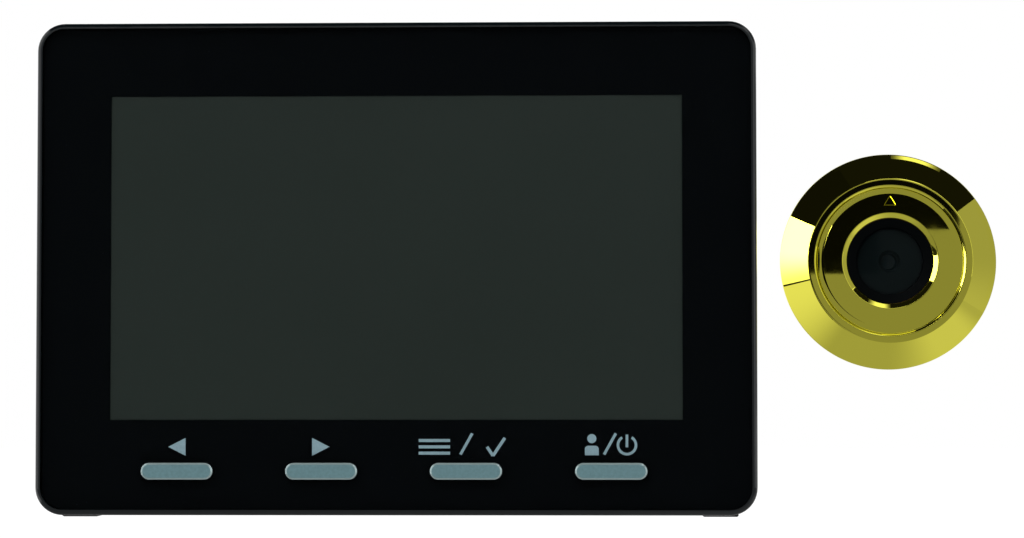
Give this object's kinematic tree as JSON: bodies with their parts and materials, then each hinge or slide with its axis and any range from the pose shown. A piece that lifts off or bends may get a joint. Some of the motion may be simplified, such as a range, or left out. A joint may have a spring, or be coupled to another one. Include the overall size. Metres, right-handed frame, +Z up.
{
  "type": "peephole door camera",
  "caption": "Peephole door viewer: a flat black monitor with a colour screen and a row of pill buttons, hung on a door bracket, beside its round gold camera unit.",
  "frame": {"origin": "centre of the bracket's tube hole, on the door's surface (the bracket's back face)", "axes": "+X to the viewer's right, from the monitor to the camera unit; +Y into the door, away from the viewer; +Z up"},
  "size_m": [0.1616, 0.0584, 0.0824],
  "materials": {
    "panel_acrylic": "polished clear acrylic",
    "panel_print": "black screen print behind the acrylic",
    "mark_print": "light blue-grey screen print",
    "housing_plastic": "polished moulded plastic",
    "bracket_plastic": "fine-textured moulded plastic",
    "screen_glass": "dark unlit screen glass",
    "guide_acrylic": "clear acrylic",
    "steel": "plated sheet and wire",
    "button_metal": "satin face with a polished chamfer",
    "white_plastic": "moulded",
    "switch_black": "moulded",
    "board_green": "solder mask",
    "cell_wrap": "shrink sleeve over steel",
    "rubber": "matt rubber",
    "gold_plate": "polished gold plating",
    "brass": "turned brass",
    "optic_black": "black anodised or moulded",
    "optic_glass": "coated glass",
    "sensor_face": "sensor cover glass"
  },
  "bodies": {
    "door_side": {"door_bracket": "bracket_plastic", "camera_flange": "gold_plate", "face_ring": "gold_plate", "window_bezel": "optic_black", "lens_window": "optic_glass", "lens_hood": "optic_black", "lens_barrel": "optic_black", "front_lens": "optic_glass", "lens_spacer": "optic_black", "rear_lens": "optic_glass", "light_filter": "optic_glass", "lens_mount": "optic_black", "image_sensor": "sensor_face", "sensor_board": "board_green", "tail_socket": "white_plastic", "camera_barrel": "brass", "camera_gasket": "rubber"},
    "monitor": {"front_housing": "housing_plastic", "rear_housing": "housing_plastic", "front_panel": "panel_acrylic", "panel_mask": "panel_print", "printed_marks": "mark_print", "lcd_glass": "screen_glass", "light_guide": "guide_acrylic", "lcd_frame": "steel", "key_switches": "switch_black", "key_board": "board_green", "main_board": "board_green", "board_screws": "steel", "processor_chip": "switch_black", "memory_chip": "switch_black", "ribbon_socket": "white_plastic", "card_socket": "steel", "usb_socket": "steel", "speaker": "switch_black", "battery_cell_1": "cell_wrap", "battery_cell_2": "cell_wrap", "battery_cell_3": "cell_wrap", "battery_cell_4": "cell_wrap", "battery_contacts": "steel", "housing_screws": "steel", "rubber_feet": "rubber"},
    "left_button": {"left_button": "button_metal", "left_plunger": "white_plastic"},
    "right_button": {"right_button": "button_metal", "right_plunger": "white_plastic"},
    "menu_button": {"menu_button": "button_metal", "menu_plunger": "white_plastic"},
    "power_button": {"power_button": "button_metal", "power_plunger": "white_plastic"},
    "battery_door": {"battery_door": "housing_plastic"},
    "memory_card": {"memory_card": "switch_black"},
    "clamp_washer": {"clamp_washer": "steel"},
    "clamp_nut": {"clamp_nut": "brass"}
  },
  "joints": [
    {"name": "monitor_lift", "type": "slide", "parent": "door_side", "child": "monitor", "axis": [0, 0, 1], "range_m": [0, 0.0056]},
    {"name": "left_press", "type": "slide", "parent": "monitor", "child": "left_button", "axis": [0, 1, 0], "range_m": [0, 0.0004], "stiffness_N_per_m": 2000},
    {"name": "right_press", "type": "slide", "parent": "monitor", "child": "right_button", "axis": [0, 1, 0], "range_m": [0, 0.0004], "stiffness_N_per_m": 2000},
    {"name": "menu_press", "type": "slide", "parent": "monitor", "child": "menu_button", "axis": [0, 1, 0], "range_m": [0, 0.0004], "stiffness_N_per_m": 2000},
    {"name": "power_press", "type": "slide", "parent": "monitor", "child": "power_button", "axis": [0, 1, 0], "range_m": [0, 0.0004], "stiffness_N_per_m": 2000},
    {"name": "battery_door_slide", "type": "slide", "parent": "monitor", "child": "battery_door", "axis": [0, 0, -1], "range_m": [0, 0.029]},
    {"name": "memory_card_slide", "type": "slide", "parent": "monitor", "child": "memory_card", "axis": [-1, 0, 0], "range_m": [0, 0.012]},
    {"name": "washer_slide", "type": "slide", "parent": "door_side", "child": "clamp_washer", "axis": [0, -1, 0], "range_m": [0, 0.009]},
    {"name": "nut_turn", "type": "hinge", "parent": "clamp_washer", "child": "clamp_nut", "pos_m": [0.0833, 0.0291, -0.00773], "axis": [0, -1, 0], "range_deg": [0, 2163]}
  ],
  "couplings": [
    {"joint": "nut_turn", "follows": "washer_slide", "rad_per_m": 4188.8}
  ]
}
